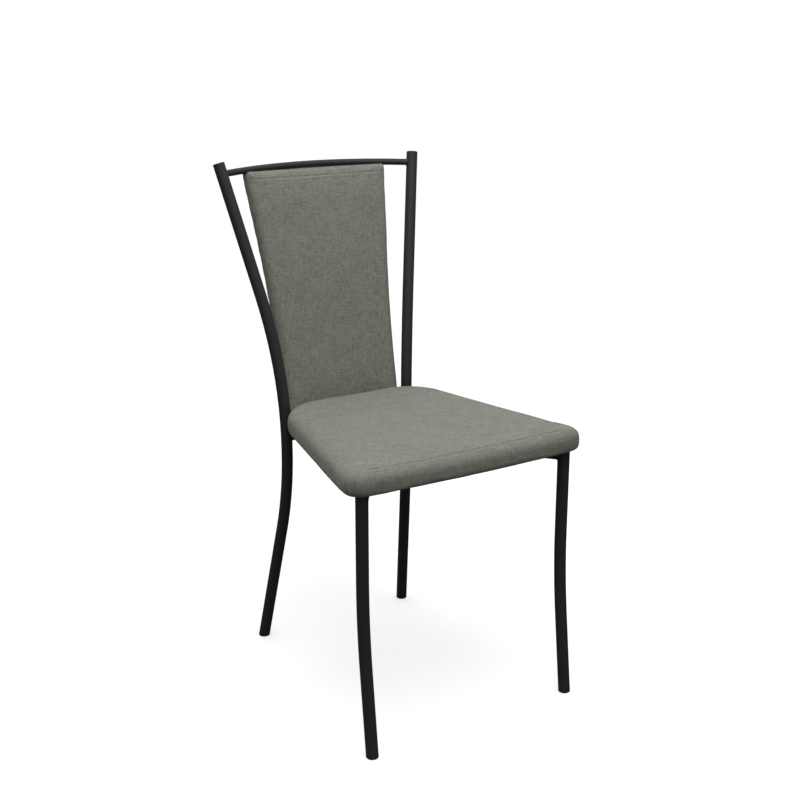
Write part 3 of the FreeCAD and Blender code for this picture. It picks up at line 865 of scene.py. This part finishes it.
def braceLines():
    # The middle lines of the braces under the seat, in plan: from each front leg to the opposite upright.
    lines = []
    for side in (-1, 1):
        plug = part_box("leg_plug_left" if side < 0 else "leg_plug_right")
        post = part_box("rear_upright_right" if side < 0 else "rear_upright_left")
        tube = (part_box("brace_long")[1].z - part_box("brace_long")[0].z) / 2
        waist = min(abs(post[0].x), abs(post[1].x)) + tube
        lines.append((Vector(((plug[0].x + plug[1].x) / 2, (plug[0].y + plug[1].y) / 2)),
                      Vector((-side * waist, post[0].y + tube * 1.2))))
    return lines


def farFromLine(p, line):
    run = line[1] - line[0]
    t = min(1, max(0, (p - line[0]).dot(run) / run.length_squared))
    return (p - line[0] - run * t).length


def stapleSpots(look, lines):
    # Places and directions along the edge of the cloth, missing where a tube passes.
    edge = planOutline("seat_dust_cover", look["stapleEvery"], 0)
    outward = outwardOf(edge)
    spots = []
    for p, o in zip(edge, outward):
        place = Vector(p) - Vector(o) * look["stapleInset"]
        if min(farFromLine(place, line) for line in lines) > look["clearOfTube"]:
            crooked = noise.noise(Vector((p[0] * 90, p[1] * 90, 3))) * 0.25
            spots.append((place, math.atan2(o[0], -o[1]) + crooked))
    return spots


def makeDustSheet(look, lines, spots):
    outline = planOutline("seat_dust_cover", 4 * mm, 1)
    centre = outline.mean(axis=0)
    count = len(outline)
    tree = treeOf([Vector((p.x, p.y, 0)) for p, _ in spots])
    edge = treeOf([Vector((p[0], p[1], 0)) for p in outline])
    top = []
    for k in range(1, look["rings"] + 1):
        for p in centre + (outline - centre) * (k / look["rings"]):
            flat = Vector(p)
            inward = edge.find((p[0], p[1], 0))[2]
            fromTube = min(farFromLine(flat, line) for line in lines)
            loose = float(smoothStep((fromTube - look["clearOfTube"]) / look["eased"]))
            wave = 0.5 + 0.5 * noise.noise(Vector((p[0] * 16, p[1] * 24, 5)))
            fromStaple = tree.find((p[0], p[1], 0))[2]
            puff = 1 - math.exp(-((fromStaple / look["pinned"]) ** 2))
            puff *= math.exp(-inward / look["scallopReach"])
            ripple = look["ripple"] * wave * float(smoothStep(inward / look["rippleFrom"]))
            drop = loose * (ripple + look["scallop"] * puff)
            top.append((p[0], p[1], clothHigh.z - look["margin"] - drop))
    under = [(x, y, z - look["thick"]) for x, y, z in top]
    last = (look["rings"] - 1) * count
    upper = ringFaces(look["rings"], count) + [tuple(range(count))[::-1]]
    lower = [tuple(i + len(top) for i in face)[::-1] for face in upper]
    rim = []
    for i in range(count):
        j = (i + 1) % count
        rim.append((last + i, last + j, last + j + len(top), last + i + len(top)))
    sheet = newPiece("dust_sheet", top + under, upper + lower + rim, dustCloth)
    closedMesh(sheet)
    onward = np.roll(outline, -1, 0)
    area = float(abs(np.sum(outline[:, 0] * onward[:, 1] - onward[:, 0] * outline[:, 1])) / 2)
    size = outline.max(axis=0) - outline.min(axis=0)
    return sheet, [float(v) for v in size], area


def rodRings(points, radius, sides=8):
    # Rings of points along a rod. radius: one size, or one for each point.
    path = [Vector(p) for p in points]
    rings = []
    for i, p in enumerate(path):
        run = (path[min(i + 1, len(path) - 1)] - path[max(i - 1, 0)]).normalized()
        side = run.cross(up if abs(run.z) < 0.9 else Vector((1, 0, 0))).normalized()
        other = run.cross(side)
        size = radius[i] if isinstance(radius, list) else radius
        rings.append([p + (side * math.cos(a) + other * math.sin(a)) * size
                      for a in (2 * math.pi * k / sides for k in range(sides))])
    return rings


def rodMesh(runs, sides=8):
    # runs: lists of rings. The two ends of each run are closed.
    points, faces = [], []
    for rings in runs:
        base = len(points)
        points += [p for ring in rings for p in ring]
        faces += [tuple(base + i for i in face) for face in ringFaces(len(rings), sides)]
        faces.append(tuple(base + i for i in range(sides))[::-1])
        faces.append(tuple(base + (len(rings) - 1) * sides + i for i in range(sides)))
    return points, faces


staple = {"crown": 10 * mm, "wire": 0.55 * mm, "bend": 0.9 * mm, "leg": 1.5 * mm}


def makeStaples(look, spots):
    # The crown lies against the cloth and its ends turn up into the board.
    runs = []
    for place, turn in spots:
        along = Vector((math.cos(turn), math.sin(turn), 0))
        middle = Vector((place.x, place.y, clothLow.z - look["wire"]))
        half = look["crown"] / 2
        path = [middle - along * half + up * look["leg"], middle - along * half + up * look["bend"],
                middle - along * (half - look["bend"] * 0.3) + up * look["bend"] * 0.3,
                middle - along * (half - look["bend"]), middle + along * (half - look["bend"]),
                middle + along * (half - look["bend"] * 0.3) + up * look["bend"] * 0.3,
                middle + along * half + up * look["bend"], middle + along * half + up * look["leg"]]
        runs.append(rodRings(path, look["wire"]))
    points, faces = rodMesh(runs)
    piece = newPiece("staples", points, faces, zinc)
    closedMesh(piece)
    return piece


braces = braceLines()
spots = stapleSpots(dustSheet, braces)
dustPiece, dustSize, dustArea = makeDustSheet(dustSheet, braces, spots)
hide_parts("seat_dust_cover")
makeStaples(staple, spots)
dustSizes = [round(v, 3) for v in dustSize]
print("dust sheet", dustSizes, "area", round(dustArea, 4), "with", len(spots), "staples")

# Weld beads where one part of the frame is welded to another: the two parts and the bead's half width in mm
welds = {
    "touch": 0.16 * mm, "step": 0.45 * mm, "ripple": 1.5 * mm, "depth": 0.14, "underTop": 2.4 * mm,
    "fewest": 8, "endSize": 0.55, "endGrowth": 0.12,
    "pairs": (
        ("brace_long", "front_leg_right", 1.5), ("brace_front_half", "front_leg_left", 1.5),
        ("brace_rear_half", "rear_upright_right", 1.5), ("brace_long", "rear_upright_left", 1.5),
        ("brace_front_half", "brace_long", 1.5), ("brace_rear_half", "brace_long", 1.5),
        ("top_rail", "rear_upright_left", 1.0), ("top_rail", "rear_upright_right", 1.0),
        ("lower_back_rail", "rear_upright_left", 1.1), ("lower_back_rail", "rear_upright_right", 1.1),
        ("back_tab_upper_left", "top_rail", 0.8), ("back_tab_upper_right", "top_rail", 0.8),
        ("back_tab_lower_left", "lower_back_rail", 0.9), ("back_tab_lower_right", "lower_back_rail", 0.9),
        ("seat_tab_front_right", "brace_long", 1.1), ("seat_tab_front_left", "brace_front_half", 1.1),
        ("seat_tab_rear_right", "brace_long", 1.1), ("seat_tab_rear_left", "brace_rear_half", 1.1),
    ),
}


def touchLoops(first, second, touch):
    # The closed edge of the area over which one CAD piece lies against another, longest first.
    shape = bmesh.new()
    shape.from_mesh(nodes[first].data)
    bmesh.ops.remove_doubles(shape, verts=shape.verts, dist=0.005 * mm)
    tree = BVHTree.FromObject(nodes[second], bpy.context.evaluated_depsgraph_get())
    near = {v for v in shape.verts if tree.find_nearest(v.co, touch * 2)[0] is not None
            and tree.find_nearest(v.co, touch * 2)[3] < touch}
    inside = {f for f in shape.faces if all(v in near for v in f.verts)}
    edges = {e for e in shape.edges if sum(f in inside for f in e.link_faces) == 1}
    loops = []
    while edges:
        edge = edges.pop()
        loop = [edge.verts[0], edge.verts[1]]
        while True:
            onward = next((e for e in loop[-1].link_edges if e in edges), None)
            if onward is None:
                break
            edges.remove(onward)
            loop.append(onward.other_vert(loop[-1]))
        loops.append([v.co.copy() for v in loop])
    shape.free()
    return sorted(loops, key=lambda l: -sum((a - b).length for a, b in zip(l, l[1:])))


def makeWelds(look):
    runs = []
    # A seat tab lies level with the top of its brace, so its beads run underneath only
    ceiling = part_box("brace_long")[1].z - look["underTop"]
    for first, second, size in look["pairs"]:
        loops = touchLoops(first, second, look["touch"])
        if not loops:
            continue
        line = evenLine(loops[0], look["step"])
        parts = [line]
        if first.startswith("seat_tab"):
            parts, part = [], []
            for p in line:
                if p.z < ceiling:
                    part.append(p)
                elif part:
                    parts.append(part)
                    part = []
            parts.append(part)
        for part in parts:
            if len(part) < look["fewest"]:
                continue
            radii = []
            for k in range(len(part)):
                beat = abs(math.sin(math.pi * k * look["step"] / look["ripple"]))
                ends = min(1.0, look["endSize"] + min(k, len(part) - 1 - k) * look["endGrowth"])
                radii.append(size * mm * (1 + look["depth"] * (beat - 0.5)) * (1 if part is line else ends))
            runs.append(rodRings(part, radii))
        print("weld", first, second, round(len(line) * look["step"] * 1000, 1), "mm")
    points, faces = rodMesh(runs)
    piece = newPiece("weld_beads", points, faces, paint)
    closedMesh(piece)
    return piece


makeWelds(welds)
print("welds made")

# The back cover's lower edge, closed by hand with a row of short stitches
stitches = {
    "every": 7 * mm, "long": 3.4 * mm, "thread": 0.42 * mm, "up": 7 * mm, "half": 0.098, "sink": 0.1 * mm,
    "slant": 0.28, "behind": 0.05,
}


def makeStitches(look):
    count = int(2 * look["half"] / look["every"])
    runs = []
    tree = BVHTree.FromObject(backCushion, bpy.context.evaluated_depsgraph_get())
    for k in range(count + 1):
        x = -look["half"] + k * look["every"]
        path = []
        for t in (-1, -0.6, 0, 0.6, 1):
            height = panelLow + look["up"] + t * look["long"] / 2
            start = panelPoint(x + t * look["long"] * look["slant"], height, 0)
            start += Vector((0, look["behind"], 0))
            hit, normal = tree.ray_cast(start, Vector((0, -1, 0)))[:2]
            lift = look["thread"] * (0.75 - abs(t) ** 3 * 1.5) - look["sink"]
            path.append(hit + normal * lift)
        runs.append(rodRings(path, look["thread"]))
    points, faces = rodMesh(runs)
    piece = newPiece("closing_stitches", points, faces, threadCloth)
    closedMesh(piece)
    return piece


makeStitches(stitches)
print("stitches made")

# Studio: pale floor and backdrop, a big soft light overhead and two weak ones in front and behind
studio = {
    "floorHalf": 30.0, "floor": (0.58, 0.58, 0.58), "floorGlow": 0.56, "dome": 46.0, "domeGlow": 1.05,
    "zenith": 1.0, "horizon": 0.23, "ground": 0.05,
    "overhead": {"power": 19.0, "size": 1.3, "place": (-0.12, -0.5, 2.1), "aim": (0.0, 0.0, 0.5)},
    "suns": {
        "front": {"power": 0.08, "spread": 60, "from": (-0.45, -1.0, 0.45)},
        "back": {"power": 0.45, "spread": 70, "from": (0.25, 1.0, 0.35)},
    },
}


def stagePiece(name, mesh, **surface):
    material, g = newFinish(name)
    g.surface(Roughness=0.9, Specular_IOR_Level=0.0, **surface)
    mesh.materials.append(material)
    piece = bpy.data.objects.new(name, mesh)
    piece.visible_diffuse = False
    piece.visible_glossy = False
    scene.collection.objects.link(piece)
    return piece


def makeStudio(look):
    half = look["floorHalf"]
    mesh = bpy.data.meshes.new("floor")
    corners = [(-half, -half, 0), (half, -half, 0), (half, half, 0), (-half, half, 0)]
    mesh.from_pydata(corners, [], [(0, 1, 2, 3)])
    white = (1, 1, 1)
    stagePiece(
        "floor", mesh, Base_Color=look["floor"], Emission_Color=white, Emission_Strength=look["floorGlow"])
    shell = bmesh.new()
    bmesh.ops.create_icosphere(shell, subdivisions=4, radius=look["dome"])
    mesh = bpy.data.meshes.new("backdrop")
    shell.to_mesh(mesh)
    shell.free()
    dome = stagePiece(
        "backdrop", mesh, Base_Color=(0, 0, 0), Emission_Color=white, Emission_Strength=look["domeGlow"])
    dome.visible_shadow = False
    dome.visible_transmission = False
    # The sky's light falls off from the zenith to the horizon
    world = bpy.data.worlds.new("studio")
    world.use_nodes = True
    scene.world = world
    g = Graph(world.node_tree)
    height = g.split(g.node("ShaderNodeTexCoord", {}, {}, "Generated"))[2]
    above = look["horizon"] + g.clamped(height) * (look["zenith"] - look["horizon"])
    side = g.clamped(height * 30 + 0.5)
    tone = look["ground"] + side * (above - look["ground"])
    light = g.node("ShaderNodeBackground", {}, {"Color": (1, 1, 1, 1), "Strength": tone})
    g.node("ShaderNodeOutputWorld", {}, {"Surface": light})
    top = look["overhead"]
    data = bpy.data.lights.new("overhead", "AREA")
    data.energy = top["power"]
    data.shape = "SQUARE"
    data.size = top["size"]
    lamp = bpy.data.objects.new("overhead", data)
    lamp.location = top["place"]
    lamp.rotation_euler = (Vector(top["place"]) - Vector(top["aim"])).to_track_quat("Z", "Y").to_euler()
    scene.collection.objects.link(lamp)
    for name, sun in look["suns"].items():
        data = bpy.data.lights.new(name, "SUN")
        data.energy = sun["power"]
        data.angle = math.radians(sun["spread"])
        lamp = bpy.data.objects.new(name, data)
        lamp.rotation_euler = Vector(sun["from"]).to_track_quat("Z", "Y").to_euler()
        scene.collection.objects.link(lamp)


makeStudio(studio)
print("studio made")
